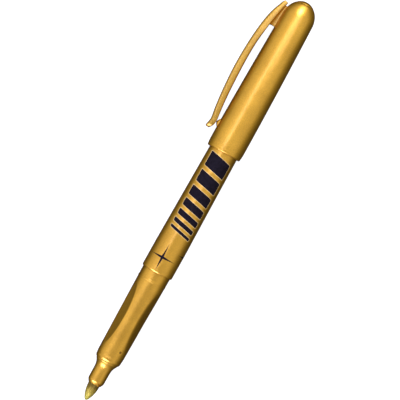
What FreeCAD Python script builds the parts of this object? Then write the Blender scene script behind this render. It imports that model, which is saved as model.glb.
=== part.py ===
import FreeCAD, Part
import math
import os

from FreeCAD import Vector as V

os.makedirs("parts", exist_ok=True)

# ---------------------------------------------------------------------------
# Capped felt-tip pen, cap posted on the tail.  Millimetres.
#
# The pen is drawn along X with the nib's point at x = 0 and the cap's end at
# x = length.  Its cross directions while drawing: +Y is the clip's side, and
# +Z is the side one looks at when the clip is seen edge on.  The whole pen is
# then rolled so that its clip meets the desk, and set with the middle of its
# box at x = 0, y = 0 and its lowest point at z = 0.
# ---------------------------------------------------------------------------

# overall
length = 150.75            # nib point to the cap's end, cap posted
roll_deg = 24.7            # how far below level the clip points at rest

# barrel
barrel_front = 48.41       # front edge of the tube
barrel_straight_end = 58.41
barrel_r = 5.51            # true cylinder at the front
barrel_taper = 0.01206     # radius lost per mm behind it
barrel_back = 129.10       # the tube ends here, the end plug goes on
tail_end = 130.30
barrel_wall = 0.89
spigot_r = 4.60            # grip section's rear spigot
socket_r = 4.62
spigot_end = 57.60
socket_end = 58.00

# grip section
grip_r_back = 5.03
grip_r_front = 4.60
grip_front = 16.75         # where the grip steps down to its collar
collar_r = 4.475
collar_front = 14.72
bead_x = 45.10
bead_h = 0.07
scoop_depth = 0.62
scoop_radius = 100.0
scoop_mid = 31.20
scoop_angles = (-57.0, 63.0, 183.0)   # from +Z towards -Y
grip_bore_r = 3.45

# nib holder and nib
nose_r = 2.87
nose_front = 5.97
holder_spigot_r = 3.60
holder_back = 22.00
nib_r = 2.02
nib_hole_r = 2.05
nib_back = 27.00
vent_angles = (33.0, 153.0, 273.0)
vent_w = 0.50
vent_d = 0.36

# ink reservoir
res_r = 3.25
wrap_t = 0.12
res_front = 23.00
res_back = 119.00
res_hole_r = 1.55

# cap
cap_mouth = 93.68
cap_r = 6.234              # greatest radius
cap_clear = 0.09           # between the barrel's tail and the cap's bore
tail_stop = 130.42         # face of the liner's flange
plug_seat = 149.45         # seam of the end plug on the dome
plug_r = 3.20
dome_centre = 144.00
dome_r = 5.530
dome_len = length - dome_centre

# clip
clip_split = 138.45        # free arm starts here
clip_hinge_off = 9.79      # hinge line's distance from the axis
web_t = 2.0


def barrel_radius(x):
    return barrel_r - barrel_taper * max(0.0, x - barrel_straight_end)


def cap_bore(x):
    return barrel_radius(x) + cap_clear


def cap_outer(x):
    """Smooth outer radius of the cap, mouth bevel left out."""
    u = max(0.0, x - 100.15)
    body = cap_r - 0.0055 * u - 2.4125e-4 * u * u
    if x > dome_centre:
        k = (x - dome_centre) / dome_len
        return dome_r * math.sqrt(max(0.0, 1.0 - k * k))
    return body


def line(p, q):
    return Part.LineSegment(V(p[0], p[1], 0), V(q[0], q[1], 0)).toShape()


def arc(p, m, q):
    return Part.Arc(V(p[0], p[1], 0), V(m[0], m[1], 0), V(q[0], q[1], 0)).toShape()


def spline(pts, t0=None, t1=None):
    c = Part.BSplineCurve()
    kw = dict(Points=[V(p[0], p[1], 0) for p in pts])
    if t0 is not None:
        kw["InitialTangent"] = V(t0[0], t0[1], 0)
        kw["FinalTangent"] = V(t1[0], t1[1], 0)
    c.interpolate(**kw)
    return c.toShape()


def turned(edges):
    """Solid of revolution about X from a closed run of edges in the XY plane."""
    wire = Part.Wire(Part.__sortEdges__(edges))
    face = Part.Face(wire)
    s = face.revolve(V(0, 0, 0), V(1, 0, 0), 360)
    if s.Volume < 0:
        s = s.reversed()
    if s.ShapeType != "Solid":
        s = s.Solids[0]
    return s


def turned_poly(pts):
    return turned([line(pts[i], pts[(i + 1) % len(pts)]) for i in range(len(pts))])


def cyl(r, x0, x1):
    return Part.makeCylinder(r, x1 - x0, V(x0, 0, 0), V(1, 0, 0))


def spin(shape, deg):
    s = shape.copy()
    s.rotate(V(0, 0, 0), V(1, 0, 0), deg)
    return s


def one(shape):
    """The largest solid of a boolean result."""
    if shape.ShapeType == "Solid":
        return shape
    return sorted(shape.Solids, key=lambda s: -s.Volume)[0]


# ---------------------------------------------------------------- barrel tube
bt_in0 = 4.45
bt_in1 = barrel_radius(barrel_back) - barrel_wall
edge_f = 0.30              # rounding of the front edge
c45 = 1 - math.sqrt(0.5)
barrel_tube = turned([
    line((barrel_front, socket_r), (barrel_front, barrel_r - edge_f)),
    arc((barrel_front, barrel_r - edge_f),
        (barrel_front + edge_f * c45, barrel_r - edge_f * c45),
        (barrel_front + edge_f, barrel_r)),
    line((barrel_front + edge_f, barrel_r), (barrel_straight_end, barrel_r)),
    line((barrel_straight_end, barrel_r), (barrel_back, barrel_radius(barrel_back))),
    line((barrel_back, barrel_radius(barrel_back)), (barrel_back, bt_in1)),
    line((barrel_back, bt_in1), (socket_end, bt_in0)),
    line((socket_end, bt_in0), (socket_end, socket_r)),
    line((socket_end, socket_r), (barrel_front, socket_r)),
])
# four ribs inside centre the reservoir and leave air passages round it
rib_r = res_r + wrap_t + 0.05
for a in (45, 135, 225, 315):
    rib = Part.makeBox(50.0, 1.6, 0.8, V(64.0, rib_r - 0.0, -0.4))
    keep = turned_poly([(64.0, rib_r), (64.0, bt_in0 + 0.2),
                        (114.0, bt_in1 + 0.35), (114.0, rib_r)])
    rib = rib.common(keep)
    barrel_tube = one(barrel_tube.fuse(spin(rib, a)))
barrel_tube = one(barrel_tube.removeSplitter())

# ------------------------------------------------------------- barrel end plug
pr = barrel_radius(barrel_back)
barrel_end_plug = turned([
    line((barrel_back - 5.6, 3.05), (barrel_back - 5.6, bt_in1 - 0.28)),
    line((barrel_back - 5.6, bt_in1 - 0.28), (barrel_back - 5.0, bt_in1 - 0.02)),
    line((barrel_back - 5.0, bt_in1 - 0.02), (barrel_back + 0.02, bt_in1 - 0.02)),
    line((barrel_back + 0.02, bt_in1 - 0.02), (barrel_back + 0.02, pr - 0.02)),
    line((barrel_back + 0.02, pr - 0.02), (tail_end - 0.5, pr - 0.05)),
    arc((tail_end - 0.5, pr - 0.05), (tail_end - 0.146, pr - 0.196), (tail_end, pr - 0.55)),
    line((tail_end, pr - 0.55), (tail_end, 1.30)),
    line((tail_end, 1.30), (tail_end - 0.35, 1.10)),
    line((tail_end - 0.35, 1.10), (tail_end - 0.35, 0.0)),
    line((tail_end - 0.35, 0.0), (barrel_back - 0.3, 0.0)),
    line((barrel_back - 0.3, 0.0), (barrel_back - 0.3, 3.05)),
    line((barrel_back - 0.3, 3.05), (barrel_back - 5.6, 3.05)),
])

# --------------------------------------------------------------- grip section
gr = lambda x: grip_r_front + (grip_r_back - grip_r_front) * (x - grip_front) / (barrel_front - grip_front)
bw = 0.45
collar_round = 0.38
grip_section = turned([
    # rear spigot
    line((spigot_end, grip_bore_r), (spigot_end, spigot_r - 0.35)),
    line((spigot_end, spigot_r - 0.35), (spigot_end - 0.5, spigot_r)),
    line((spigot_end - 0.5, spigot_r), (barrel_front - 0.02, spigot_r)),
    line((barrel_front - 0.02, spigot_r), (barrel_front - 0.02, gr(barrel_front))),
    # outside, with its bead ring
    line((barrel_front - 0.02, gr(barrel_front)), (bead_x + bw, gr(bead_x + bw))),
    spline([(bead_x + bw, gr(bead_x + bw)), (bead_x, gr(bead_x) + bead_h), (bead_x - bw, gr(bead_x - bw))],
           (-1, 0.0), (-1, 0.0)),
    line((bead_x - bw, gr(bead_x - bw)), (grip_front, grip_r_front)),
    # step down to the front collar
    spline([(grip_front, grip_r_front), (grip_front - 0.16, grip_r_front - 0.065), (grip_front - 0.32, collar_r)],
           (-1, -0.05), (-1, -0.05)),
    line((grip_front - 0.32, collar_r), (collar_front + collar_round, collar_r - 0.015)),
    arc((collar_front + collar_round, collar_r - 0.015),
        (collar_front + collar_round * c45, collar_r - 0.015 - collar_round * c45),
        (collar_front, collar_r - 0.015 - collar_round)),
    line((collar_front, collar_r - 0.015 - collar_round), (collar_front, 3.93)),
    # stepped bore
    line((collar_front, 3.93), (17.30, 3.93)),
    line((17.30, 3.93), (17.30, holder_spigot_r + 0.03)),
    line((17.30, holder_spigot_r + 0.03), (holder_back + 0.05, holder_spigot_r + 0.03)),
    line((holder_back + 0.05, holder_spigot_r + 0.03), (holder_back + 0.05, grip_bore_r)),
    line((holder_back + 0.05, grip_bore_r), (spigot_end, grip_bore_r)),
])
# three finger scoops: flat across, hollow lengthwise
slope = (grip_r_back - grip_r_front) / (barrel_front - grip_front)
sn = 1.0 / math.hypot(1.0, slope)
r_mid = gr(scoop_mid)
cx = scoop_mid - slope * sn * (scoop_radius - scoop_depth)
cz = r_mid + sn * (scoop_radius - scoop_depth)
for a in scoop_angles:
    tool = Part.makeCylinder(scoop_radius, 16.0, V(cx, -8.0, cz), V(0, 1, 0))
    tool = tool.common(Part.makeBox(30.0, 16.0, 4.0, V(scoop_mid - 15.0, -8.0, r_mid - 1.5)))
    grip_section = one(grip_section.cut(spin(tool, a)))

# ----------------------------------------------------------------- nib holder
nib_holder = turned([
    line((holder_back, nib_hole_r), (holder_back, holder_spigot_r - 0.3)),
    line((holder_back, holder_spigot_r - 0.3), (holder_back - 0.5, holder_spigot_r)),
    line((holder_back - 0.5, holder_spigot_r), (17.27, holder_spigot_r)),
    line((17.27, holder_spigot_r), (17.27, 3.90)),
    line((17.27, 3.90), (14.62, 3.90)),
    spline([(14.62, 3.90), (14.26, 3.815), (13.60, 3.42), (12.93, 3.135),
            (12.27, 2.975), (11.61, 2.900), (10.94, 2.875), (10.2, nose_r)],
           (-1.0, -0.05), (-1.0, 0.0)),
    line((10.2, nose_r), (7.45, nose_r - 0.02)),
    spline([(7.45, nose_r - 0.02), (6.96, 2.755), (6.50, 2.545), (nose_front + 0.10, 2.27)],
           (-1.0, -0.01), (-0.8, -0.6)),
    line((nose_front + 0.10, 2.27), (nose_front, 2.20)),
    line((nose_front, 2.20), (nose_front, nib_hole_r)),
    line((nose_front, nib_hole_r), (holder_back, nib_hole_r)),
])
for a in vent_angles:
    slot = Part.makeBox(holder_back - nose_front + 2.0, vent_w, nib_hole_r + vent_d, V(nose_front - 1.0, -vent_w / 2, 0.0))
    nib_holder = one(nib_holder.cut(spin(slot, a)))

# ------------------------------------------------------------------------ nib
nib_point = 0.16           # the point is worn to a small flat
nib = turned([
    line((0.0, 0.0), (0.0, nib_point)),
    spline([(0.0, nib_point), (0.10, 0.33), (0.34, 0.55), (0.995, 0.925), (1.66, 1.23), (2.32, 1.468),
            (2.98, 1.655), (3.65, 1.800), (4.31, 1.900), (4.97, 1.968), (5.64, 2.008), (6.40, nib_r)]),
    line((6.40, nib_r), (22.45, nib_r)),
    line((22.45, nib_r), (22.95, 1.50)),
    line((22.95, 1.50), (25.60, 1.50)),
    line((25.60, 1.50), (nib_back, 0.55)),
    line((nib_back, 0.55), (nib_back, 0.0)),
    line((nib_back, 0.0), (0.0, 0.0)),
])

# ---------------------------------------------------------------- ink storage
ink_reservoir = turned_poly([
    (res_front, res_hole_r), (res_front, res_r), (res_back, res_r), (res_back, 0.0),
    (nib_back + 0.15, 0.0), (nib_back + 0.15, 0.60), (25.65, res_hole_r)])
reservoir_wrap = turned_poly([
    (res_front + 0.4, res_r), (res_front + 0.4, res_r + wrap_t),
    (res_back - 0.4, res_r + wrap_t), (res_back - 0.4, res_r)])

# ------------------------------------------------------------------ cap shell
mouth_out = 5.70
bev_x = cap_mouth + 2.05
body_pts = []
x = bev_x
while x < 141.0:
    body_pts.append((x, cap_outer(x)))
    x += 3.75
for k in (0.07, 0.16, 0.26, 0.36, 0.46, 0.55, 0.63, 0.70):
    xx = dome_centre + dome_len * k
    body_pts.append((xx, cap_outer(xx)))
body_pts.append((plug_seat, cap_outer(plug_seat)))
r_seat = cap_outer(plug_seat)
step1 = 138.70             # liner's seat steps in
step2 = 145.35             # end wall of the liner's seat
shell = turned([
    line((cap_mouth, cap_bore(cap_mouth) + 0.12), (cap_mouth, mouth_out - 0.02)),
    spline([(cap_mouth, mouth_out - 0.02), (cap_mouth + 0.12, mouth_out + 0.20), (cap_mouth + 0.55, 6.075),
            (cap_mouth + 1.05, 6.175), (cap_mouth + 1.55, 6.222), (bev_x, cap_outer(bev_x))]),
    spline(body_pts),
    line((plug_seat, r_seat), (plug_seat - 0.30, r_seat - 0.10)),
    line((plug_seat - 0.30, r_seat - 0.10), (plug_seat - 0.30, 2.43)),
    line((plug_seat - 0.30, 2.43), (147.30, 2.43)),
    line((147.30, 2.43), (147.30, 3.00)),
    line((147.30, 3.00), (step2, 3.00)),
    line((step2, 3.00), (step2, 4.13)),
    line((step2, 4.13), (step1, 4.13)),
    line((step1, 4.13), (step1, 4.62)),
    line((step1, 4.62), (tail_stop - 0.02, 4.62)),
    line((tail_stop - 0.02, 4.62), (tail_stop - 0.02, cap_bore(tail_stop))),
    line((tail_stop - 0.02, cap_bore(tail_stop)), (cap_mouth + 0.14, cap_bore(cap_mouth + 0.14))),
    line((cap_mouth + 0.14, cap_bore(cap_mouth + 0.14)), (cap_mouth, cap_bore(cap_mouth) + 0.12)),
])

# --- clip: a curved bar, its side outline drawn in the XY plane --------------
# outer and inner edges as (x, distance from the axis)
clip_outer = [(147.75, 6.78), (147.20, 7.20), (146.50, 7.53), (145.60, 7.86), (144.25, 8.40), (142.90, 8.87),
              (141.60, 9.23), (139.90, 9.61), (138.45, 9.87), (136.60, 10.13), (134.96, 10.33), (131.65, 10.63),
              (128.30, 10.83), (125.00, 10.94), (121.70, 10.96), (118.40, 10.88), (115.10, 10.70), (111.75, 10.46),
              (108.40, 10.14), (105.10, 9.72), (103.50, 9.46), (102.46, 9.31), (101.80, 9.25), (101.10, 9.30),
              (100.45, 9.44), (99.80, 9.60), (98.95, 9.74)]
clip_inner = [(147.40, 5.48), (146.50, 5.72), (145.30, 6.06), (143.60, 6.46), (141.90, 6.80), (139.80, 7.20),
              (138.45, 7.43), (136.60, 7.68), (134.96, 7.89), (131.65, 8.22), (128.30, 8.39), (125.00, 8.44),
              (121.70, 8.41), (118.40, 8.32), (115.10, 8.19), (111.75, 8.03), (108.40, 7.79), (105.10, 7.45),
              (103.50, 7.26), (102.50, 7.18), (101.60, 7.19), (100.60, 7.34), (99.80, 7.68), (98.85, 8.33)]


clip_hw = 2.1              # half width across the clip
# outline seen from the clip's outside: narrower at the root, rounded at the foot
clip_plan = [(98.65, 0.0), (98.77, 0.80), (99.15, 1.42), (100.0, 1.85), (101.7, 2.05), (106.0, 2.12), (128.0, 2.12),
             (138.45, 2.02), (143.0, 1.88), (147.70, 1.60)]


def side_face(outer, inner):
    """Side outline between the clip's outer and inner edges."""
    edges = [spline(outer), spline(inner), line(outer[0], inner[0]), line(outer[-1], inner[-1])]
    return Part.Face(Part.Wire(Part.__sortEdges__(edges)))


def bar(outer, inner):
    f = side_face(outer, inner)
    f.translate(V(0, 0, -clip_hw))
    s = f.extrude(V(0, 0, 2 * clip_hw))
    outs = [e for e in s.Edges if e.BoundBox.ZMax - e.BoundBox.ZMin < 1e-6 and e.BoundBox.XLength > 5.0]
    outs.sort(key=lambda e: -e.CenterOfMass.y)
    s = s.makeFillet(0.80, outs[:2])
    return s


plan_edges = [spline([(x, w) for x, w in reversed(clip_plan[1:])] + [(clip_plan[0][0], 0.0)]
                     + [(x, -w) for x, w in clip_plan[1:]]),
              line((clip_plan[-1][0], -clip_plan[-1][1]), (clip_plan[-1][0], clip_plan[-1][1]))]
plan = Part.Face(Part.Wire(Part.__sortEdges__(plan_edges)))
plan.rotate(V(0, 0, 0), V(1, 0, 0), 90)
plan.translate(V(0, 4.0, 0))
plan = plan.extrude(V(0, 9.0, 0))

k_split = [i for i, p in enumerate(clip_outer) if abs(p[0] - clip_split) < 1e-6][0]
root_bar = one(bar(clip_outer[:k_split + 1], clip_inner[:k_split + 1]).common(plan))
arm_bar = one(bar(clip_outer[k_split:], clip_inner[k_split:]).common(plan))

# web between the clip's root and the cap, thinner than the bar
web_prof = [(138.60, 5.30), (138.48, 6.00), (138.45, 6.80), (138.55, 8.10), (141.90, 7.60), (143.60, 7.20),
            (145.30, 6.75), (146.35, 6.20), (146.25, 5.60), (146.10, 4.60), (142.0, 5.0)]
web = Part.Face(Part.makePolygon([V(p[0], p[1], -web_t / 2) for p in web_prof + web_prof[:1]])).extrude(V(0, 0, web_t))

# nub under the clip's foot: a short half-round ridge with rounded ends
nub_x, nub_top = 101.75, 7.13
nub_pts = []
for d, h in ((-1.62, 0.0), (-1.25, 0.14), (-0.80, 0.50), (-0.35, 0.88), (0.0, 1.0), (0.35, 0.88), (0.80, 0.50),
             (1.25, 0.14), (1.62, 0.0)):
    nub_pts.append((nub_x + d, 6.12 + (nub_top - 6.12) * h))
nub_edges = [spline(nub_pts, (1, 0), (1, 0)), line(nub_pts[-1], (nub_x + 1.62, 5.6)),
             line((nub_x + 1.62, 5.6), (nub_x - 1.62, 5.6)), line((nub_x - 1.62, 5.6), nub_pts[0])]
nub = Part.Face(Part.Wire(Part.__sortEdges__(nub_edges)))
nub.translate(V(0, 0, -1.3))
nub = nub.extrude(V(0, 0, 2.6))

adds = web.fuse(root_bar)
adds = adds.fuse(nub)
# nothing that is added reaches into the cap's hollow
hollow = turned_poly([(cap_mouth - 1, 0.0), (cap_mouth - 1, cap_bore(cap_mouth) + 0.3),
                      (tail_stop, cap_bore(tail_stop) + 0.3), (step1, 4.95), (step2 + 0.5, 4.6),
                      (step2 + 0.5, 0.0)])
adds = adds.cut(hollow)
cap_shell = one(shell.fuse(adds))
clip_arm = arm_bar

# --------------------------------------------------------------- cap end plug
top_pts = [(plug_seat + 0.04, cap_outer(plug_seat) - 0.07)]
for k in (0.80, 0.86, 0.91, 0.95, 0.98):
    xx = dome_centre + dome_len * k
    top_pts.append((xx, cap_outer(xx)))
top_pts.append((length, 0.45))
cap_end_plug = turned([
    spline(top_pts),
    line((length, 0.45), (length, 0.0)),
    line((length, 0.0), (147.60, 0.0)),
    line((147.60, 0.0), (147.60, 2.20)),
    line((147.60, 2.20), (147.85, 2.40)),
    line((147.85, 2.40), (plug_seat - 0.28, 2.40)),
    line((plug_seat - 0.28, 2.40), (plug_seat - 0.28, top_pts[0][1] - 0.10)),
    line((plug_seat - 0.28, top_pts[0][1] - 0.10), top_pts[0]),
])

# ------------------------------------------------------------------ cap liner
cap_liner = turned_poly([
    (tail_stop, 3.10), (tail_stop, 4.60), (step1 - 0.03, 4.60), (step1 - 0.03, 4.10), (step2 - 0.03, 4.10),
    (step2 - 0.03, 0.0), (144.20, 0.0), (144.20, 2.98), (132.70, 2.98), (132.30, 2.91), (131.80, 2.91),
    (131.30, 2.98), (130.80, 2.98)])

# -------------------------------------------------------------------- placing
nodes = {
    "barrel_tube": barrel_tube,
    "barrel_end_plug": barrel_end_plug,
    "grip_section": grip_section,
    "nib_holder": nib_holder,
    "nib": nib,
    "ink_reservoir": ink_reservoir,
    "reservoir_wrap": reservoir_wrap,
    "cap_shell": cap_shell,
    "cap_end_plug": cap_end_plug,
    "cap_liner": cap_liner,
    "clip_arm": clip_arm,
}

for s in nodes.values():
    s.rotate(V(0, 0, 0), V(1, 0, 0), -roll_deg)


def exact_box(shapes):
    lo = [1e9] * 3
    hi = [-1e9] * 3
    for s in shapes:
        for p in s.tessellate(0.02)[0]:
            for i, c in enumerate((p.x, p.y, p.z)):
                lo[i] = min(lo[i], c)
                hi[i] = max(hi[i], c)
    return lo, hi


lo, hi = exact_box(nodes.values())
shift = V(-(lo[0] + hi[0]) / 2, -(lo[1] + hi[1]) / 2, -lo[2])
for s in nodes.values():
    s.translate(shift)

axis_y = shift.y
axis_z = shift.z
hy = clip_hinge_off * math.cos(math.radians(roll_deg)) + axis_y
hz = -clip_hinge_off * math.sin(math.radians(roll_deg)) + axis_z
print("box size %.3f %.3f %.3f" % tuple(hi[i] - lo[i] for i in range(3)))
print("axis at y %.4f z %.4f, x = drawn x %+.4f" % (axis_y, axis_z, shift.x))
print("clip hinge at x %.4f y %.4f z %.4f" % (clip_split + shift.x, hy, hz))
for name, s in nodes.items():
    l2, h2 = exact_box([s])
    print("%-16s valid %s solids %d vol %.2f  x %.2f..%.2f  y %.2f..%.2f  z %.3f..%.3f" % (
        name, s.isValid(), len(s.Solids), s.Volume, l2[0], h2[0], l2[1], h2[1], l2[2], h2[2]))
    s.exportStep("parts/%s.step" % name)
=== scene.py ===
import math

import bmesh
import bpy
from mathutils import Matrix, Vector


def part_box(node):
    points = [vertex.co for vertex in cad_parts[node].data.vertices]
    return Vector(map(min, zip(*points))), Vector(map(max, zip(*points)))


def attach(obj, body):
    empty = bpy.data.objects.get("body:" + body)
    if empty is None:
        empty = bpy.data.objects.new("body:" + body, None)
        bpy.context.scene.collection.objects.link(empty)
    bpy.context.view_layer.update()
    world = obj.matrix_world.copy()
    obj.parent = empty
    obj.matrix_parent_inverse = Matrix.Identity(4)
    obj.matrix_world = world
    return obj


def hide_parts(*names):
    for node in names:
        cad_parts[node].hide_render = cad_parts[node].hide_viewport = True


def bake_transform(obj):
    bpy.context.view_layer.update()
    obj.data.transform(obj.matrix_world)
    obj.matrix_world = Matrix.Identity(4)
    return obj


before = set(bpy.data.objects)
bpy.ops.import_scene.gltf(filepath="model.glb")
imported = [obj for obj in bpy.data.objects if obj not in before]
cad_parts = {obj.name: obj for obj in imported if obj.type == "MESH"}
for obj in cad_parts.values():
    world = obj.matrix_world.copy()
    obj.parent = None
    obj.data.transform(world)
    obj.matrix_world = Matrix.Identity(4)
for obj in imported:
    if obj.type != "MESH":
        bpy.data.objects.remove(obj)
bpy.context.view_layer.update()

# ---------------------------------------------------------------------------
# Pen coordinates: x (mm) from the nib's point along the pen, c (mm) from the
# axis towards the clip, n (mm) from the axis towards the side one looks at.
# ---------------------------------------------------------------------------
ROLL = math.radians(24.7)
LENGTH = 150.75
_lo, _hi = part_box("barrel_tube")
AX_Y, AX_Z = (_lo[1] + _hi[1]) / 2, (_lo[2] + _hi[2]) / 2
X0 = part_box("nib")[0][0]
C = Vector((0.0, math.cos(ROLL), -math.sin(ROLL)))
N = Vector((0.0, math.sin(ROLL), math.cos(ROLL)))
X = Vector((1.0, 0.0, 0.0))
AXIS0 = Vector((X0, AX_Y, AX_Z))


def W(x, c, n):
    return AXIS0 + (X * x + C * c + N * n) * 0.001


def P(x, r, psi):
    """psi in degrees from N, positive away from the clip."""
    a = math.radians(psi)
    return W(x, -r * math.sin(a), r * math.cos(a))


def smooth_profile(pts, step=0.25, closed=False):
    """Resample a polyline profile so long spans get rings too."""
    out = [pts[0]]
    for a, b in zip(pts, pts[1:]):
        d = math.hypot(b[0] - a[0], b[1] - a[1])
        k = max(1, int(math.ceil(d / step)))
        for i in range(1, k + 1):
            out.append((a[0] + (b[0] - a[0]) * i / k, a[1] + (b[1] - a[1]) * i / k))
    return out


def arc_pts(cx, cr, rad, a0, a1, n=8):
    """Points of an arc in the (x, r) plane, angles in degrees."""
    return [(cx + rad * math.cos(math.radians(a0 + (a1 - a0) * i / n)),
             cr + rad * math.sin(math.radians(a0 + (a1 - a0) * i / n))) for i in range(n + 1)]


def catmull(pts, per=6):
    out = []
    n = len(pts)
    for i in range(n - 1):
        p0 = pts[max(0, i - 1)]; p1 = pts[i]; p2 = pts[i + 1]; p3 = pts[min(n - 1, i + 2)]
        for k in range(per):
            t = k / per
            q = []
            for j in range(len(p1)):
                a = 2 * p1[j]
                b = p2[j] - p0[j]
                cc = 2 * p0[j] - 5 * p1[j] + 4 * p2[j] - p3[j]
                d = -p0[j] + 3 * p1[j] - 3 * p2[j] + p3[j]
                q.append(0.5 * (a + b * t + cc * t * t + d * t ** 3))
            out.append(tuple(q))
    out.append(tuple(pts[-1]))
    return out


def new_object(name, bm, mat, body, sharp=38.0, replaces=None):
    bmesh.ops.remove_doubles(bm, verts=bm.verts, dist=1e-7)
    bmesh.ops.recalc_face_normals(bm, faces=bm.faces)
    me = bpy.data.meshes.new(name)
    bm.to_mesh(me)
    bm.free()
    o = bpy.data.objects.new(name, me)
    bpy.context.scene.collection.objects.link(o)
    me.materials.append(mat)
    for p in me.polygons:
        p.use_smooth = True
    me.set_sharp_from_angle(angle=math.radians(sharp))
    if isinstance(body, tuple):
        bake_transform(o)
    else:
        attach(o, body)
    if replaces:
        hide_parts(*replaces)
    return o


def lathe(profile, seg=160, radius_fn=None, closed=True):
    """bmesh turned from (x, r) points; r may be changed by radius_fn(x, r, psi)."""
    bm = bmesh.new()
    rings = []
    for x, r in profile:
        if r < 1e-6:
            rings.append([bm.verts.new(W(x, 0, 0))])
            continue
        ring = []
        for k in range(seg):
            psi = 360.0 * k / seg
            rr = radius_fn(x, r, psi) if radius_fn else r
            ring.append(bm.verts.new(P(x, rr, psi)))
        rings.append(ring)
    pairs = list(zip(rings, rings[1:]))
    if closed:
        pairs.append((rings[-1], rings[0]))
    for a, b in pairs:
        if len(a) == 1 and len(b) == 1:
            continue
        for k in range(seg):
            k2 = (k + 1) % seg
            if len(a) == 1:
                bm.faces.new((a[0], b[k], b[k2]))
            elif len(b) == 1:
                bm.faces.new((a[k], b[0], a[k2]))
            else:
                bm.faces.new((a[k], b[k], b[k2], a[k2]))
    return bm


# ---------------------------------------------------------------------------
# Materials
# ---------------------------------------------------------------------------
def material(name):
    m = bpy.data.materials.new(name)
    m.use_nodes = True
    nt = m.node_tree
    for nd in list(nt.nodes):
        if nd.type not in ("BSDF_PRINCIPLED", "OUTPUT_MATERIAL"):
            nt.nodes.remove(nd)
    return m, nt, next(nd for nd in nt.nodes if nd.type == "BSDF_PRINCIPLED")


def srgb(r, g, b):
    f = lambda v: (v / 255 / 12.92) if v / 255 <= 0.04045 else ((v / 255 + 0.055) / 1.055) ** 2.4
    return (f(r), f(g), f(b), 1.0)


def node(nt, kind, **kw):
    nd = nt.nodes.new(kind)
    for k, v in kw.items():
        setattr(nd, k, v)
    return nd


def noise(nt, vec, scale, detail=2.0, rough=0.5):
    nd = node(nt, "ShaderNodeTexNoise")
    nd.inputs["Scale"].default_value = scale
    nd.inputs["Detail"].default_value = detail
    nd.inputs["Roughness"].default_value = rough
    nt.links.new(vec, nd.inputs["Vector"])
    return nd


def ramp(nt, fac, stops):
    nd = node(nt, "ShaderNodeValToRGB")
    el = nd.color_ramp.elements
    while len(el) > 1:
        el.remove(el[-1])
    el[0].position, el[0].color = stops[0]
    for p, col in stops[1:]:
        e = el.new(p)
        e.color = col
    nt.links.new(fac, nd.inputs["Fac"])
    return nd


def mix(nt, a, b, fac, blend="MIX"):
    nd = node(nt, "ShaderNodeMix", data_type="RGBA", blend_type=blend)
    for v, i in ((fac, 0), (a, 6), (b, 7)):
        if isinstance(v, (tuple, float, int)):
            nd.inputs[i].default_value = v
        else:
            nt.links.new(v, nd.inputs[i])
    return nd.outputs[2]


def maprange(nt, v, a, b, c, d):
    nd = node(nt, "ShaderNodeMapRange")
    for i, val in zip((1, 2, 3, 4), (a, b, c, d)):
        nd.inputs[i].default_value = val
    nt.links.new(v, nd.inputs[0])
    return nd.outputs[0]


def gold(name, tint=(1.0, 1.0, 1.0), rough=0.38):
    """Moulded plastic full of fine gold flake: satin sheen, sparkle grain, faint flow clouds."""
    m, nt, bs = material(name)
    tc = node(nt, "ShaderNodeTexCoord")
    obj = tc.outputs["Object"]
    cloud = noise(nt, obj, 190.0, 3.0, 0.55)
    grain = noise(nt, obj, 4200.0, 2.0, 0.7)
    flake = node(nt, "ShaderNodeTexVoronoi")
    flake.inputs["Scale"].default_value = 5200.0
    nt.links.new(obj, flake.inputs["Vector"])
    lo = (0.580, 0.305, 0.017, 1.0); hi = (0.69, 0.372, 0.025, 1.0)
    lo = tuple(lo[i] * tint[i] for i in range(3)) + (1.0,)
    hi = tuple(hi[i] * tint[i] for i in range(3)) + (1.0,)
    base = ramp(nt, cloud.outputs["Fac"], [(0.30, lo), (0.70, hi)]).outputs["Color"]
    spark = ramp(nt, grain.outputs["Fac"], [(0.30, (0.80, 0.78, 0.74, 1)), (0.55, (1, 1, 1, 1)), (0.75, (1.22, 1.20, 1.12, 1))])
    col = mix(nt, base, spark.outputs["Color"], 1.0, "MULTIPLY")
    nt.links.new(col, bs.inputs["Base Color"])
    r1 = maprange(nt, grain.outputs["Fac"], 0.25, 0.75, rough + 0.05, rough - 0.05)
    nt.links.new(r1, bs.inputs["Roughness"])
    bs.inputs["Metallic"].default_value = 0.93
    bs.inputs["Specular Tint"].default_value = (0.60, 0.42, 0.15, 1.0)
    bs.inputs["Coat Weight"].default_value = 0.62
    bs.inputs["Coat Roughness"].default_value = 0.28
    bs.inputs["Coat IOR"].default_value = 1.55
    # flake tilt and the faint orange-peel of a moulded skin
    mixn = node(nt, "ShaderNodeMath", operation="MULTIPLY_ADD")
    nt.links.new(flake.outputs["Distance"], mixn.inputs[0])
    mixn.inputs[1].default_value = 0.6
    nt.links.new(grain.outputs["Fac"], mixn.inputs[2])
    bump = node(nt, "ShaderNodeBump")
    bump.inputs["Strength"].default_value = 0.16
    bump.inputs["Distance"].default_value = 0.00003
    nt.links.new(mixn.outputs[0], bump.inputs["Height"])
    peel = noise(nt, obj, 420.0, 1.0, 0.4)
    bump2 = node(nt, "ShaderNodeBump")
    bump2.inputs["Strength"].default_value = 0.10
    bump2.inputs["Distance"].default_value = 0.0001
    nt.links.new(peel.outputs["Fac"], bump2.inputs["Height"])
    nt.links.new(bump.outputs["Normal"], bump2.inputs["Normal"])
    nt.links.new(bump2.outputs["Normal"], bs.inputs["Normal"])
    return m


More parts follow.
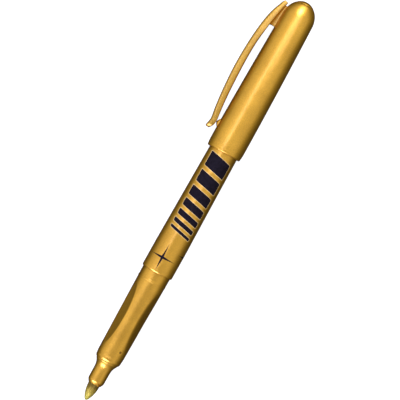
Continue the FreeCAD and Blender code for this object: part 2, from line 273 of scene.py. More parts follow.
def plain(name, col_a, col_b, rough, scale, bump_s=0.1, bump_scale=2500.0, sss=0.0, spec=0.5):
    m, nt, bs = material(name)
    tc = node(nt, "ShaderNodeTexCoord")
    a = noise(nt, tc.outputs["Object"], scale, 3.0, 0.6)
    nt.links.new(ramp(nt, a.outputs["Fac"], [(0.35, col_a), (0.65, col_b)]).outputs["Color"], bs.inputs["Base Color"])
    b = noise(nt, tc.outputs["Object"], bump_scale, 2.0, 0.6)
    nt.links.new(maprange(nt, b.outputs["Fac"], 0.3, 0.7, rough - 0.05, rough + 0.05), bs.inputs["Roughness"])
    bp = node(nt, "ShaderNodeBump")
    bp.inputs["Strength"].default_value = bump_s
    bp.inputs["Distance"].default_value = 0.00005
    nt.links.new(b.outputs["Fac"], bp.inputs["Height"])
    nt.links.new(bp.outputs["Normal"], bs.inputs["Normal"])
    bs.inputs["Specular IOR Level"].default_value = spec
    if sss:
        bs.inputs["Subsurface Weight"].default_value = sss
        bs.inputs["Subsurface Scale"].default_value = 0.002
    return m


def nib_material():
    """Sintered fibre: lengthwise strands, darker towards the holder, pale olive at the point."""
    m, nt, bs = material("nib_fibre")
    tc = node(nt, "ShaderNodeTexCoord")
    mp = node(nt, "ShaderNodeMapping")
    nt.links.new(tc.outputs["Object"], mp.inputs["Vector"])
    mp.inputs["Scale"].default_value = (0.12, 1.0, 1.0)
    strand = noise(nt, mp.outputs["Vector"], 3600.0, 3.0, 0.65)
    speck = noise(nt, tc.outputs["Object"], 2600.0, 2.0, 0.6)
    sep = node(nt, "ShaderNodeSeparateXYZ")
    nt.links.new(tc.outputs["Object"], sep.inputs[0])
    along = maprange(nt, sep.outputs[0], X0, X0 + 0.0062, 0.0, 1.0)
    wob = node(nt, "ShaderNodeMath", operation="MULTIPLY_ADD")
    nt.links.new(strand.outputs["Fac"], wob.inputs[0])
    wob.inputs[1].default_value = 0.35
    nt.links.new(along, wob.inputs[2])
    base = ramp(nt, wob.outputs[0], [(0.16, srgb(184, 178, 76)), (0.50, srgb(192, 174, 78)),
                                     (0.80, srgb(168, 146, 62)), (1.0, srgb(120, 100, 42))])
    dark = ramp(nt, strand.outputs["Fac"], [(0.38, (0.42, 0.41, 0.34, 1)), (0.52, (1, 1, 1, 1)), (0.68, (1.16, 1.14, 1.08, 1))])
    nt.links.new(mix(nt, base.outputs["Color"], dark.outputs["Color"], 1.0, "MULTIPLY"), bs.inputs["Base Color"])
    nt.links.new(maprange(nt, speck.outputs["Fac"], 0.3, 0.7, 0.55, 0.74), bs.inputs["Roughness"])
    bs.inputs["Metallic"].default_value = 0.80
    bs.inputs["Specular Tint"].default_value = (0.40, 0.36, 0.18, 1.0)
    bp = node(nt, "ShaderNodeBump")
    bp.inputs["Strength"].default_value = 0.35
    bp.inputs["Distance"].default_value = 0.00005
    nt.links.new(strand.outputs["Fac"], bp.inputs["Height"])
    nt.links.new(bp.outputs["Normal"], bs.inputs["Normal"])
    return m


GOLD_CAP = gold("gold_cap")
GOLD_BARREL = gold("gold_barrel", tint=(0.97, 0.96, 0.98), rough=0.36)
GOLD_GRIP = gold("gold_grip", tint=(0.98, 0.97, 0.98), rough=0.33)
# the clip is the cap's own gold plastic; its darker, cooler tint is painted shade
GOLD_CLIP_PAINTED_SHADE = gold("gold_clip_painted_shade", tint=(0.70, 0.725, 0.80), rough=0.38)
# the web is the same gold plastic; its much darker tint is painted shade from the clip bar above it
GOLD_WEB_PAINTED_SHADE = gold("gold_web_painted_shade", tint=(0.62, 0.60, 0.50), rough=0.40)
NIB = nib_material()
BLACK = plain("print_black", srgb(12, 8, 14), srgb(20, 15, 22), 0.55, 900.0, 0.06, 3000.0, spec=0.06)
KEYLINE = plain("print_keyline", srgb(206, 172, 104), srgb(222, 190, 122), 0.42, 900.0, 0.05, 3000.0)
LINER = plain("liner_plastic", srgb(206, 204, 196), srgb(222, 220, 212), 0.45, 300.0, 0.08, 1800.0, 0.2)
FIBRE = plain("reservoir_fibre", srgb(196, 186, 148), srgb(214, 206, 172), 0.85, 700.0, 0.5, 2200.0)
FILM = plain("clear_film", srgb(216, 216, 210), srgb(228, 228, 224), 0.25, 200.0, 0.05, 900.0)

# ---------------------------------------------------------------------------
# Shapes (millimetres, as in the CAD)
# ---------------------------------------------------------------------------
BF, BSE, BR, BT = 48.41, 58.41, 5.51, 0.01206
B_BACK, TAIL = 129.10, 130.30
MOUTH = 93.68
PLUG_SEAT = 149.45
DOME_C, DOME_R = 144.00, 5.530
DOME_L = LENGTH - DOME_C


def barrel_r(x):
    return BR - BT * max(0.0, x - BSE)


def cap_outer(x):
    u = max(0.0, x - 100.15)
    body = 6.234 - 0.0055 * u - 2.4125e-4 * u * u
    if x > DOME_C:
        k = min(1.0, (x - DOME_C) / DOME_L)
        return DOME_R * math.sqrt(max(0.0, 1.0 - k * k))
    return body


# --- barrel ------------------------------------------------------------------
bt_in1 = barrel_r(B_BACK) - 0.89
prof = [(BF, 4.70), (BF, 5.15)]
prof += catmull([(BF, 5.28), (BF + 0.03, 5.345), (BF + 0.10, 5.385), (BF + 0.30, 5.465), (BF + 0.42, 5.50), (BF + 0.60, BR)], 4)
prof += [(BSE, BR)]
prof += [(x, barrel_r(x)) for x in [BSE + i * (B_BACK - BSE) / 60 for i in range(1, 61)]]
prof += [(B_BACK, bt_in1), (58.0, 4.45), (58.0, 4.62), (BF + 0.2, 4.62)]
barrel = new_object("barrel_skin", lathe(smooth_profile(prof, 1.0), 192), GOLD_BARREL, "pen_body",
                    replaces=["barrel_tube"])


# --- grip section --------------------------------------------------------------
G_F, G_B = 16.75, BF
gr = lambda x: 4.60 + 0.43 * (x - G_F) / (G_B - G_F)
SLOPE = 0.43 / (G_B - G_F)
SN = 1.0 / math.hypot(1.0, SLOPE)
SCR, SCD, SCM = 100.0, 0.62, 31.20
CX = SCM - SLOPE * SN * (SCR - SCD)
CZ = gr(SCM) + SN * (SCR - SCD)


def grip_radius(x, r, psi):
    if not (17.2 < x < 44.4):
        return r
    # gate mark: a tiny dimple
    gd = math.hypot(x - 19.6, ((psi - 33.5 + 180.0) % 360.0 - 180.0) * math.pi / 180.0 * r)
    if gd < 0.46:
        r -= 0.08 * (1.0 - (gd / 0.46) ** 2) ** 0.6
    d = CZ - math.sqrt(max(0.0, SCR * SCR - (x - CX) ** 2))
    out = r
    for a in (-57.0, 63.0, 183.0):
        dd = (psi - a + 180.0) % 360.0 - 180.0
        if abs(dd) < 60.0:
            f = d / math.cos(math.radians(dd))
            # soft minimum keeps the scoop's rim crisp but not razor sharp; one scoop's rim is worn softer
            k = 0.035
            if a == 63.0:
                w = max(0.0, 1.0 - ((x - SCM) / 12.5) ** 2)
                k += 0.56 * w
                f += 0.16 * w
            h = max(0.0, min(1.0, 0.5 + 0.5 * (f - out) / k))
            out = f * (1 - h) + out * h - k * h * (1 - h)
    return out


prof = [(57.6, 3.45), (57.6, 4.25), (57.1, 4.60), (BF + 0.5, 4.60), (BF - 0.02, 4.60), (BF - 0.02, gr(BF) - 0.05), (BF - 0.07, gr(BF))]
xs = [BF - 0.4 - i * 0.35 for i in range(0, 200) if BF - 0.4 - i * 0.35 > 45.75]
prof += [(x, gr(x)) for x in xs]
for i in range(0, 13):
    t = i / 12
    x = 45.55 - 0.90 * t
    prof.append((x, gr(x) + 0.075 * math.sin(math.pi * t) ** 1.5))
x = 44.5
while x > 17.3:
    prof.append((x, gr(x)))
    x -= 0.07 if 18.40 < x < 19.50 else 0.22
prof += [(17.2, gr(17.2))]
prof += catmull([(17.02, 4.598), (16.88, 4.590), (16.46, 4.527), (16.16, 4.484), (15.98, 4.476)], 4)
prof += [(15.8, 4.471), (15.50, 4.466)]
prof += catmull([(15.46, 4.460), (15.36, 4.425), (14.98, 4.255), (14.84, 4.185), (14.75, 4.10), (14.72, 4.00)], 5)
prof += [(14.72, 3.96), (14.80, 3.93), (17.3, 3.93), (17.3, 3.63), (22.05, 3.63), (22.05, 3.45)]
grip = new_object("grip_skin", lathe(prof, 288, grip_radius), GOLD_GRIP, "pen_body", sharp=30,
                  replaces=["grip_section"])

# the gate mark's dimple: a dark disc inside it is painted shade for the dimple's bottom
GATE = plain("gate_shade", srgb(96, 66, 14), srgb(108, 76, 18), 0.6, 400.0, 0.1, 2000.0, spec=0.1)
bm = bmesh.new()
gx, gpsi, gate_r = 19.6, 33.5, gr(19.6) - 0.015
disc = [bm.verts.new(P(gx + 0.44 * math.cos(t * math.pi / 12), gate_r, gpsi + math.degrees(0.44 * math.sin(t * math.pi / 12) / gate_r)))
        for t in range(24)]
low = [bm.verts.new(P(gx + 0.44 * math.cos(t * math.pi / 12), gate_r - 0.25, gpsi + math.degrees(0.44 * math.sin(t * math.pi / 12) / gate_r)))
       for t in range(24)]
bm.faces.new(disc)
bm.faces.new(low[::-1])
for t in range(24):
    bm.faces.new((disc[t - 1], low[t - 1], low[t], disc[t]))
new_object("gate_painted_shade_disc", bm, GATE, "pen_body", sharp=40)

# --- nib holder ------------------------------------------------------------------
def holder_radius(x, r, psi):
    # three vent notches beside the nib show on the front bevel
    if x < 6.9 and r < 2.75:
        for a in (33.0, 153.0, 273.0):
            dd = abs((psi - a + 180.0) % 360.0 - 180.0)
            if dd < 6.2:
                return min(r, 2.10 + 0.02 * r)
    return r


prof = [(22.0, 2.05), (22.0, 3.3), (21.5, 3.6), (17.27, 3.6), (17.27, 3.90), (14.66, 3.90)]
prof += catmull([(14.60, 3.895), (14.42, 3.865), (14.20, 3.76), (13.90, 3.575), (13.60, 3.405), (13.26, 3.25), (12.93, 3.13),
                 (12.60, 3.043), (12.27, 2.980), (11.94, 2.935), (11.61, 2.905), (11.2, 2.885), (10.6, 2.873), (10.0, 2.870)], 5)
prof += [(9.4, 2.866), (8.6, 2.860), (7.9, 2.854)]
prof += catmull([(7.45, 2.848), (7.2, 2.825), (6.96, 2.76), (6.7, 2.65), (6.45, 2.52), (6.2, 2.36), (6.05, 2.26), (5.99, 2.20)], 4)
prof += [(5.97, 2.14), (6.02, 2.06), (8.0, 2.05)]
holder = new_object("holder_skin", lathe(prof, 240, holder_radius), GOLD_GRIP, "pen_body", sharp=40,
                    replaces=["nib_holder"])

# --- nib -------------------------------------------------------------------------
NP = [(0.0, 0.0), (0.0, 0.10), (0.04, 0.20), (0.12, 0.34), (0.34, 0.55), (0.66, 0.755), (0.995, 0.925), (1.33, 1.085), (1.66, 1.23),
      (2.32, 1.468), (2.98, 1.655), (3.65, 1.800), (4.31, 1.900), (4.97, 1.968), (5.64, 2.008), (6.40, 2.02)]
prof = [NP[0]] + catmull(NP[1:], 4) + [(9.0, 2.02), (22.45, 2.02), (22.95, 1.50), (25.6, 1.50), (27.0, 0.55), (27.0, 0.0)]
nib = new_object("nib_skin", lathe(prof, 96, closed=False), NIB, "pen_body", replaces=["nib"])

# --- cap ---------------------------------------------------------------------------
bore = lambda x: barrel_r(x) + 0.09
prof = [(MOUTH + 0.20, bore(MOUTH) + 0.01), (MOUTH + 0.06, bore(MOUTH) + 0.06), (MOUTH, bore(MOUTH) + 0.16), (MOUTH, 5.62)]
prof += catmull([(MOUTH, 5.76), (MOUTH + 0.04, 5.87), (MOUTH + 0.12, 5.955), (MOUTH + 0.25, 6.025), (MOUTH + 0.42, 6.075),
                 (MOUTH + 0.65, 6.102), (MOUTH + 0.92, 6.112), (MOUTH + 1.02, 6.118), (MOUTH + 1.18, 6.166),
                 (MOUTH + 1.30, 6.178), (MOUTH + 1.85, 6.188), (MOUTH + 1.98, 6.194), (MOUTH + 2.13, 6.228),
                 (MOUTH + 2.25, 6.234), (MOUTH + 2.9, 6.234)], 3)
x = MOUTH + 3.6
while x < 139.0:
    prof.append((x, cap_outer(x)))
    x += 1.1
x = 139.0
while x < 149.0:
    prof.append((x, cap_outer(x)))
    x += 0.22
prof += [(149.2, cap_outer(149.2)), (149.22, cap_outer(149.22) - 0.01), (149.27, cap_outer(149.27) - 0.05), (149.285, cap_outer(149.45) - 0.12),
         (149.27, cap_outer(149.45) - 0.30), (149.12, 2.8), (149.15, 2.43), (147.3, 2.43), (147.3, 3.0), (145.35, 3.0), (145.35, 4.13),
         (138.7, 4.13), (138.7, 4.62), (130.40, 4.62), (130.40, bore(130.4))]
x = 129.0
while x > MOUTH + 1:
    prof.append((x, bore(x)))
    x -= 3.0
cap = new_object("cap_skin", lathe(prof, 224), GOLD_CAP, "cap", replaces=["cap_shell"])

# --- cap end plug --------------------------------------------------------------------
prof = [(PLUG_SEAT - 0.26, cap_outer(PLUG_SEAT) - 0.34), (PLUG_SEAT, cap_outer(PLUG_SEAT) - 0.30)]
pl = [(PLUG_SEAT + 0.07, cap_outer(PLUG_SEAT + 0.12) - 0.16), (PLUG_SEAT + 0.12, cap_outer(PLUG_SEAT + 0.16) - 0.03)]
for k in (0.842, 0.865, 0.89, 0.91, 0.93, 0.948, 0.963, 0.976, 0.986, 0.993, 0.9975):
    xx = DOME_C + DOME_L * k
    pl.append((xx, cap_outer(xx)))
prof += pl + [(LENGTH - 0.004, 0.0)]
prof = [(147.6, 0.0), (147.6, 2.2), (147.85, 2.40), (149.14, 2.40), (149.17, 2.45)] + prof
# a dark ring of painted shade for the bottom of the groove between the cap shell and its end plug
ring = [(149.20, cap_outer(149.45) - 0.40), (149.29, cap_outer(149.30) - 0.075), (149.36, cap_outer(149.37) - 0.060),
        (149.44, cap_outer(149.45) - 0.065), (149.50, cap_outer(149.51) - 0.085), (149.52, cap_outer(149.45) - 0.40)]
SEAM = plain("seam_shade", srgb(112, 76, 18), srgb(126, 88, 22), 0.6, 400.0, 0.1, 2000.0, spec=0.1)
new_object("plug_seam_painted_shade", lathe(ring, 128, closed=True), SEAM, "cap")
plug = new_object("cap_plug_skin", lathe(prof, 128, closed=False), GOLD_CAP, "cap", replaces=["cap_end_plug"])

# --- tail plug ------------------------------------------------------------------------
pr = barrel_r(B_BACK)
prof = [(123.5, 3.05), (123.5, bt_in1 - 0.28), (124.1, bt_in1 - 0.02), (129.12, bt_in1 - 0.02), (129.12, pr - 0.10), (129.18, pr - 0.03)]
prof += [(129.6, pr - 0.035)] + arc_pts(TAIL - 0.5, pr - 0.55, 0.5, 90, 0, 8) + [(TAIL, 1.45), (TAIL - 0.08, 1.30), (TAIL - 0.32, 1.12),
         (TAIL - 0.35, 1.0), (TAIL - 0.35, 0.0)]
tail = new_object("tail_plug_skin", lathe([(128.8, 0.0), (128.8, 3.05)] + prof, 128, closed=False), GOLD_BARREL, "pen_body",
                  replaces=["barrel_end_plug"])

# --- clip ------------------------------------------------------------------------------
CO = [(147.75, 6.78), (147.20, 7.20), (146.50, 7.53), (145.60, 7.86), (144.25, 8.40), (142.90, 8.87),
      (141.60, 9.23), (139.90, 9.61), (138.45, 9.87), (136.60, 10.13), (134.96, 10.33), (131.65, 10.63),
      (128.30, 10.83), (125.00, 10.94), (121.70, 10.96), (118.40, 10.88), (115.10, 10.70), (111.75, 10.46),
      (108.40, 10.14), (105.10, 9.72), (103.50, 9.46), (102.46, 9.31), (101.80, 9.25), (101.10, 9.30),
      (100.45, 9.44), (99.80, 9.60), (98.95, 9.74)]
CI = [(147.40, 5.48), (146.50, 5.72), (145.30, 6.06), (143.60, 6.46), (141.90, 6.80), (139.80, 7.20),
      (138.45, 7.43), (136.60, 7.68), (134.96, 7.89), (131.65, 8.22), (128.30, 8.39), (125.00, 8.44),
      (121.70, 8.41), (118.40, 8.32), (115.10, 8.19), (111.75, 8.03), (108.40, 7.79), (105.10, 7.45),
      (103.50, 7.26), (102.50, 7.18), (101.60, 7.19), (100.60, 7.34), (99.80, 7.68), (98.85, 8.33)]
PLAN = [(98.65, 0.95), (98.85, 1.12), (99.15, 1.42), (100.0, 1.85), (101.7, 2.04), (106.0, 2.10), (128.0, 2.10),
        (138.45, 2.00), (143.0, 1.86), (147.70, 1.60)]


def along(tab, k):
    """Catmull curve through a table, resampled at k equal lengths."""
    c = catmull(tab, 12)
    d = [0.0]
    for p, q in zip(c, c[1:]):
        d.append(d[-1] + math.hypot(p[0] - q[0], p[1] - q[1]))
    out = []
    j = 0
    for i in range(k + 1):
        t = d[-1] * i / k
        while j < len(d) - 2 and d[j + 1] < t:
            j += 1
        f = (t - d[j]) / max(1e-9, d[j + 1] - d[j])
        out.append((c[j][0] + (c[j + 1][0] - c[j][0]) * f, c[j][1] + (c[j + 1][1] - c[j][1]) * f))
    return out


def lerp_tab(tab, x):
    tab = sorted(tab)
    for (x0, y0), (x1, y1) in zip(tab, tab[1:]):
        if x0 <= x <= x1:
            return y0 + (y1 - y0) * (x - x0) / (x1 - x0)
    return tab[0][1] if x < tab[0][0] else tab[-1][1]


def clip_bmesh():
    bm = bmesh.new()
    co = along(CO, 190)
    ci = along(CI, 190)
    rings = []
    m = 14
    for (xo, ro), (xi, ri) in zip(co, ci):
        xm = (xo + xi) / 2
        hw = lerp_tab(PLAN, xm)
        th = math.hypot(xo - xi, ro - ri)
        ux, ur = (xo - xi) / th, (ro - ri) / th
        mx, mr = xm, (ro + ri) / 2
        R1 = min(0.80, th * 0.40, hw * 0.55)      # outer corners
        soft = min(1.0, max(0.0, (136.5 - xm) / 7.0)) * min(1.0, max(0.0, (xm - 102.0) / 6.0))
        R2 = min(0.22 + 0.48 * soft, th * (0.15 + 0.19 * soft), hw * 0.35)       # inner corners
        h = th / 2
        pts = []
        crown = 0.0
        # outline in (t across, s width): outer face at t=+h
        def corner(cs, ct, rad, a0, a1, k):
            for i in range(k + 1):
                a = math.radians(a0 + (a1 - a0) * i / k)
                pts.append((ct + rad * math.sin(a), cs + rad * math.cos(a)))
        corner(hw - R1, h - R1, R1, 0, 90, 7)
        for i in range(1, 6):
            s = (hw - R1) * (1 - 2 * i / 6)
            pts.append((h, s))
        corner(-(hw - R1), h - R1, R1, 90, 180, 7)
        corner(-(hw - R2), -(h - R2), R2, 180, 270, 4)
        for i in range(1, 6):
            s = -(hw - R2) * (1 - 2 * i / 6)
            pts.append((-h, s))
        corner(hw - R2, -(h - R2), R2, 270, 360, 4)
        ring = [bm.verts.new(W(mx + ux * t, mr + ur * t, s)) for t, s in pts]
        rings.append(ring)
    k = len(rings[0])
    for a, b in zip(rings, rings[1:]):
        for i in range(k):
            j = (i + 1) % k
            bm.faces.new((a[i], b[i], b[j], a[j]))
    # rounded end caps: shrink the end rings a little twice
    for ring, sgn in ((rings[0], 1), (rings[-1], -1)):
        cen = Vector((0, 0, 0))
        for v in ring:
            cen += v.co
        cen /= len(ring)
        prev = ring
        for sc, push in ((0.95, 0.05), (0.86, 0.075), (0.50, 0.085)):
            nr = [bm.verts.new(cen + (v.co - cen) * sc + X * (sgn * push * 0.001)) for v in ring]
            for i in range(k):
                j = (i + 1) % k
                bm.faces.new((prev[i], nr[i], nr[j], prev[j]))
            prev = nr
        bm.faces.new(prev)
    return bm


# the clip's darker gold is painted shade
clip = new_object("clip_skin", clip_bmesh(), GOLD_CLIP_PAINTED_SHADE, ("cap", "clip", tuple(W(140.4, 9.0, 0)), tuple(W(136.0, 9.0, 0))),
                  sharp=50, replaces=["clip_arm"])


# --- web ---------------------------------------------------------------------------------
def web_bmesh():
    """Thin wall from the cap's side up into the clip's back; lower end arched, edges softened."""
    bm = bmesh.new()
    hw = 0.84
    rows = []
    xs = [138.42 + i * (146.35 - 138.42) / 26 for i in range(27)]
    for x in xs:
        inner = cap_outer(x) - 0.25
        outer = lerp_tab(CI, x) + 0.35
        t = min(1.0, (x - 138.42) / 0.45)
        w = hw * (0.80 + 0.20 * math.sqrt(t))
        lo = inner
        pts = []
        for i in range(13):
            f = i / 12
            r = lo + (outer - lo) * f
            # fillet out towards both ends of the wall
            flare = 0.24 * math.exp(-f * 8.0) + 1.15 * math.exp(-(1 - f) * 3.6)
            pts.append((r, w + flare))
        # arched lower end
        row = []
        for r, ww in pts:
            f = (r - lo) / (outer - lo)
            arch = 0.16 * 4 * f * (1 - f) if x < 139.4 else 0.0
            arch *= max(0.0, 1 - (x - 138.42) / 1.0)
            row.append((x + arch, r, ww))
        rows.append(row)
    grid_a = [[bm.verts.new(W(x, r, w)) for x, r, w in row] for row in rows]
    grid_b = [[bm.verts.new(W(x, r, -w)) for x, r, w in row] for row in rows]
    for g in (grid_a, grid_b):
        for a, b in zip(g, g[1:]):
            for i in range(len(a) - 1):
                bm.faces.new((a[i], a[i + 1], b[i + 1], b[i]))
    for end in (0, -1):
        a, b = grid_a[end], grid_b[end]
        for i in range(len(a) - 1):
            bm.faces.new((a[i], b[i], b[i + 1], a[i + 1]))
    for col in (0, -1):
        for i in range(len(rows) - 1):
            bm.faces.new((grid_a[i][col], grid_a[i + 1][col], grid_b[i + 1][col], grid_b[i][col]))
    return bm


# the web's dark gold is painted shade under the clip's bar
web = new_object("clip_web", web_bmesh(), GOLD_WEB_PAINTED_SHADE, "cap")


# --- nub under the clip's foot --------------------------------------------------------------
def nub_bmesh():
    bm = bmesh.new()
    nx, top = 101.75, 7.13
    L, wdt = 1.62, 1.30
    nu, nv = 28, 20
    g = []
    for i in range(nu + 1):
        u = -1 + 2 * i / nu
        row = []
        for j in range(nv + 1):
            v = -1 + 2 * j / nv
            h = max(0.0, 1 - abs(u) ** 1.55) ** 1.15 * max(0.0, 1 - abs(v) ** 5) ** 0.55
            base = math.sqrt(max(0.0, 6.215 ** 2 - (wdt * v) ** 2)) - 0.06
            row.append(bm.verts.new(W(nx + u * L, base + (top - 6.155) * h, wdt * v)))
        g.append(row)
    for a, b in zip(g, g[1:]):
        for i in range(nv):
            bm.faces.new((a[i], a[i + 1], b[i + 1], b[i]))
    return bm


nub = new_object("cap_nub", nub_bmesh(), GOLD_CAP, "cap")


# ---------------------------------------------------------------------------
# Print: thin raised ink patches wrapped on the tapered barrel
# ---------------------------------------------------------------------------
PX = 0.3316


def wrap_patch(name, polys, mat, slot, lift):
    """polys: outlines in (b, s) where b is mm along the pen and s mm round it, from N away from the clip."""
    bm = bmesh.new()
    for poly in polys:
        # fill on a flat sheet, cut fine, then wrap
        flat = bmesh.new()
        vs = [flat.verts.new((p[0], p[1], 0)) for p in poly]
        flat.faces.new(vs)
        bmesh.ops.triangulate(flat, faces=flat.faces)
        for _ in range(40):
            long_edges = [e for e in flat.edges if e.calc_length() > 0.36]
            if not long_edges:
                break
            bmesh.ops.subdivide_edges(flat, edges=long_edges, cuts=1)
            bmesh.ops.triangulate(flat, faces=[f for f in flat.faces if len(f.verts) > 3])
        bound = {v.index for e in flat.edges if e.is_boundary for v in e.verts}
        flat.verts.ensure_lookup_table()
        flat.verts.index_update()
        top, bot = {}, {}
        for v in flat.verts:
            x, s = v.co.x, v.co.y
            r = barrel_r(x)
            psi = math.degrees(s / r)
            top[v.index] = bm.verts.new(P(x, r + lift, psi))
        for f in flat.faces:
            bm.faces.new([top[v.index] for v in f.verts])
        for e in flat.edges:
            if e.is_boundary:
                a, b = e.verts
                for v in (a, b):
                    if v.index not in bot:
                        r = barrel_r(v.co.x)
                        bot[v.index] = bm.verts.new(P(v.co.x, r - 0.03, math.degrees(v.co.y / r)))
                bm.faces.new((top[a.index], top[b.index], bot[b.index], bot[a.index]))
        flat.free()
    return new_object(name, bm, mat, "pen_body", sharp=30)


def bx(b):
    """Axial station in mm."""
    return (b + 217.0) * PX


S0, S1 = -3.95, 4.65        # band's two edges round the barrel, mm of arc


BARS = [(62.4, 46.2), (41.6, 28.6), (24.0, 13.6), (9.4, 1.4), (-2.6, -8.6), (-12.4, -16.8), (-20.4, -23.4)]
SL = -5.6


def bar_strips(name, bars, grow, mat, lift):
    """Slanted bars laid on the barrel as fine quad strips with a thin edge."""
    bm = bmesh.new()
    for hi, lo in bars:
        nb = max(2, int(math.ceil((hi - lo + 2 * grow / PX) * PX / 0.6)))
        ns = 44
        s0, s1 = S0 - grow, S1 + grow
        g = []
        for i in range(nb + 1):
            row = []
            for j in range(ns + 1):
                sv = s0 + (s1 - s0) * j / ns
                skew = SL * (sv - S0) / (S1 - S0)
                b = hi + grow / PX + skew + (lo - hi - 2 * grow / PX) * i / nb
                # ease the four corners
                e = 0.30 * max(0.0, 1 - min(j, ns - j) * (s1 - s0) / ns / 0.30) ** 2
                if i == 0:
                    b -= e / PX
                if i == nb:
                    b += e / PX
                row.append((bx(b), sv))
            g.append(row)
        top = [[bm.verts.new(P(x, barrel_r(x) + lift, math.degrees(sv / barrel_r(x)))) for x, sv in row] for row in g]
        for r0, r1 in zip(top, top[1:]):
            for j in range(ns):
                bm.faces.new((r0[j], r0[j + 1], r1[j + 1], r1[j]))
        loop = [(0, j) for j in range(ns + 1)] + [(i, ns) for i in range(1, nb + 1)]
        loop += [(nb, j) for j in range(ns - 1, -1, -1)] + [(i, 0) for i in range(nb - 1, 0, -1)]
        low = [bm.verts.new(P(g[i][j][0], barrel_r(g[i][j][0]) - 0.03, math.degrees(g[i][j][1] / barrel_r(g[i][j][0]))))
               for i, j in loop]
        for k in range(len(loop)):
            m = (k + 1) % len(loop)
            bm.faces.new((top[loop[k][0]][loop[k][1]], top[loop[m][0]][loop[m][1]], low[m], low[k]))
    return new_object(name, bm, mat, "pen_body", sharp=40)


bar_strips("print_keylines", BARS, 0.12, KEYLINE, 0.008)
bar_strips("print_bars", BARS, 0.0, BLACK, 0.018)


def needle(bm, b, s, arm, waist, along_x, lift):
    """One two-ended needle of a four-pointed sparkle, wrapped on the barrel."""
    n, m = 40, 6
    rows = []
    for i in range(n + 1):
        t = -1.0 + 2.0 * i / n
        hw = waist * max(0.0, 1.0 - abs(t)) ** 1.25 + 0.004
        rows.append([(t * arm, hw * (2.0 * j / m - 1.0)) for j in range(m + 1)])

    def put(u, v, up):
        if not along_x:
            u, v = v, -u
        x = bx(b) + u
        return bm.verts.new(P(x, barrel_r(x) + up, math.degrees((s + v) / barrel_r(x))))
    top = [[put(u, v, lift) for u, v in row] for row in rows]
    for r0, r1 in zip(top, top[1:]):
        for j in range(m):
            bm.faces.new((r0[j], r0[j + 1], r1[j + 1], r1[j]))
    loop = [(0, j) for j in range(m + 1)] + [(i, m) for i in range(1, n + 1)]
    loop += [(n, j) for j in range(m - 1, -1, -1)] + [(i, 0) for i in range(n - 1, 0, -1)]
    low = [put(rows[i][j][0], rows[i][j][1], -0.03) for i, j in loop]
    for k in range(len(loop)):
        q = (k + 1) % len(loop)
        bm.faces.new((top[loop[k][0]][loop[k][1]], top[loop[q][0]][loop[q][1]], low[q], low[k]))


bm = bmesh.new()
for sb, ss, ax, ay, wst in ((-54.6, -0.8, 5.0, 4.9, 0.43), (-45.6, 8.8, 5.0, 4.9, 0.43), (-54.0, 17.6, 3.9, 3.9, 0.38)):
    needle(bm, sb, ss, ax, wst, True, 0.014)
    needle(bm, sb, ss, ay, wst, False, 0.018)
new_object("print_stars", bm, BLACK, "pen_body", sharp=40)

# ---------------------------------------------------------------------------
# CAD nodes that stay
# ---------------------------------------------------------------------------
for nm, mt in (("ink_reservoir", FIBRE), ("reservoir_wrap", FILM), ("cap_liner", LINER)):
    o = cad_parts[nm]
    o.data.materials.clear()
    o.data.materials.append(mt)

# ---------------------------------------------------------------------------
# Floor, light, camera
# ---------------------------------------------------------------------------
bm = bmesh.new()
bmesh.ops.create_grid(bm, x_segments=4, y_segments=4, size=3.0)
me = bpy.data.meshes.new("floor")
bm.to_mesh(me); bm.free()
floor = bpy.data.objects.new("floor", me)
bpy.context.scene.collection.objects.link(floor)
fm, fnt, fbs = material("floor_pale")
fbs.inputs["Base Color"].default_value = (0.30, 0.30, 0.30, 1)
fbs.inputs["Roughness"].default_value = 0.9
fbs.inputs["Specular IOR Level"].default_value = 0.0
fbs.inputs["Emission Color"].default_value = (1.0, 1.0, 1.0, 1)
fbs.inputs["Emission Strength"].default_value = 0.92
me.materials.append(fm)
floor.visible_glossy = False
floor.visible_diffuse = False

world = bpy.data.worlds.new("studio")
bpy.context.scene.world = world
world.use_nodes = True
wn = world.node_tree
bg = wn.nodes["Background"]
wtc = wn.nodes.new("ShaderNodeTexCoord")
wdot = wn.nodes.new("ShaderNodeVectorMath")
wdot.operation = "DOT_PRODUCT"
wn.links.new(wtc.outputs["Generated"], wdot.inputs[0])
wdot.inputs[1].default_value = (N + C * 0.13).normalized()
wr = wn.nodes.new("ShaderNodeValToRGB")
wmr = wn.nodes.new("ShaderNodeMapRange")
wmr.inputs[1].default_value = -1.0
wmr.inputs[2].default_value = 1.0
wn.links.new(wdot.outputs["Value"], wmr.inputs[0])
wn.links.new(wmr.outputs[0], wr.inputs[0])
e = wr.color_ramp.elements
e[0].position, e[0].color = 0.0, (0.05, 0.05, 0.05, 1)
e[1].position, e[1].color = 1.0, (0.50, 0.50, 0.50, 1)
for pos, v in ((0.16, 0.04), (0.29, 0.08), (0.41, 0.18), (0.53, 0.46), (0.68, 0.94), (0.80, 0.90), (0.93, 0.58)):
    q = e.new(pos)
    q.color = (v, v * 0.97, v * 0.62, 1) if pos < 0.6 else (v, v, v, 1)
wn.links.new(wr.outputs[0], bg.inputs[0])
bg.inputs[1].default_value = 1.0

CEN = AXIS0 + X * 0.0728
SIDE = C                      # towards the clip: image left
UP = X                        # towards the cap
OUT = N                       # towards the camera


def area(name, at, look, size, size_y, radiance, col=(1, 1, 1)):
    """Soft box: size along the pen, size_y across it."""
    ld = bpy.data.lights.new(name, "AREA")
    ld.shape = "RECTANGLE"
    ld.size, ld.size_y = size, size_y
    ld.energy = radiance * math.pi * size * size_y
    ld.color = col
    lo = bpy.data.objects.new(name, ld)
    bpy.context.scene.collection.objects.link(lo)
    lo.location = at
    z = (at - look).normalized()
    x = (X - z * X.dot(z)).normalized()
    lo.rotation_euler = Matrix((x, z.cross(x), z)).transposed().to_euler()
    return lo


def toward(deg, along):
    """Direction leaning deg from OUT towards the clip side, and along towards the cap."""
    d = math.radians(deg)
    return (OUT * math.cos(d) + SIDE * math.sin(d) + UP * along).normalized()


def over(x, deg, slope, dist):
    return AXIS0 + X * (x * 0.001) + toward(deg, slope) * dist


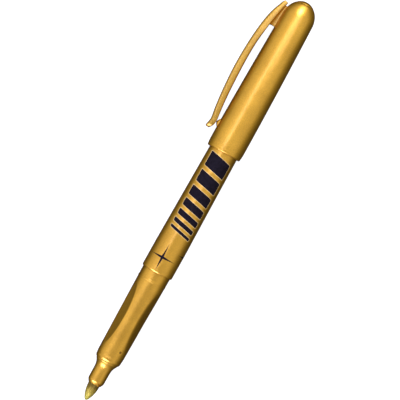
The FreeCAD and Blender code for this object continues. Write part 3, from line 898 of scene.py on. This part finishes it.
area("key", over(36, 35, 0.0, 0.50), over(36, 0, 0, 0), 0.32, 0.30, 0.70, (1.0, 1.0, 1.35))
area("cap_key", over(116, 16, 0.02, 0.32), over(116, 0, 0, 0), 0.14, 0.055, 3.7, (1.0, 1.04, 1.9))
area("cap_fill", over(112, -24, 0.02, 0.30), over(112, 0, 0, 0), 0.12, 0.14, 0.40)
area("clip_key", over(146, -6, 0.10, 0.10), over(146, 0, 0, 0), 0.035, 0.05, 1.6, (1.0, 1.03, 1.8))
area("end", over(146, 10, 1.0, 0.42), over(146, 0, 0, 0), 0.24, 0.17, 13.0, (1.0, 1.0, 1.3))
area("end_soft", over(144, 8, 0.55, 0.42), over(144, 0, 0, 0), 0.22, 0.10, 3.2, (1.0, 1.04, 1.9))
area("tip", over(150, 4, 4.0, 0.42), over(150, 0, 0, 0), 0.14, 0.22, 3.0, (1.0, 0.98, 0.9))
area("low", over(14, 20, -1.0, 0.42), over(18, 0, 0, 0), 0.18, 0.34, 8.0, (1.0, 1.02, 1.8))

# camera: level with the pen's exact side view, pen leaning 29.3 degrees in the frame
TH = math.radians(29.19)
TH0 = math.radians(29.30)
S_MM = 0.3316
# image right and up in the pen's own directions
right = -C * math.cos(TH) + X * math.sin(TH)
up = X * math.cos(TH) + C * math.sin(TH)
cam_d = bpy.data.cameras.new("cam")
cam = bpy.data.objects.new("cam", cam_d)
bpy.context.scene.collection.objects.link(cam)
bpy.context.scene.camera = cam
# where the pen's station b = -100 lies in the frame, then the frame's centre in (a, b)
qx = 191.638 - 100 * math.sin(TH0) - 0.15 * math.cos(TH0)
qy = 210.342 + 100 * math.cos(TH0) - 0.15 * math.sin(TH0)
dx, dy = 200.0 - qx, 200.0 - qy
a0 = dx * math.cos(TH) + dy * math.sin(TH)
b0 = dx * math.sin(TH) - dy * math.cos(TH) - 100.0
aim = W(bx(b0), -a0 * S_MM, 0.0)
DIST = 0.56
cam.location = aim + N * DIST
back = N
m3 = Matrix((right, up, back)).transposed()
cam.rotation_euler = m3.to_euler()
cam_d.sensor_width = 36.0
cam_d.lens = 36.0 * DIST / (400 * S_MM * 0.001)
cam_d.clip_start = 0.01
cam_d.clip_end = 20.0

bpy.context.scene.view_settings.view_transform = "Standard"
bpy.context.scene.view_settings.look = "None"
bpy.context.scene.view_settings.exposure = 0.0
bpy.context.scene.view_settings.gamma = 1.0
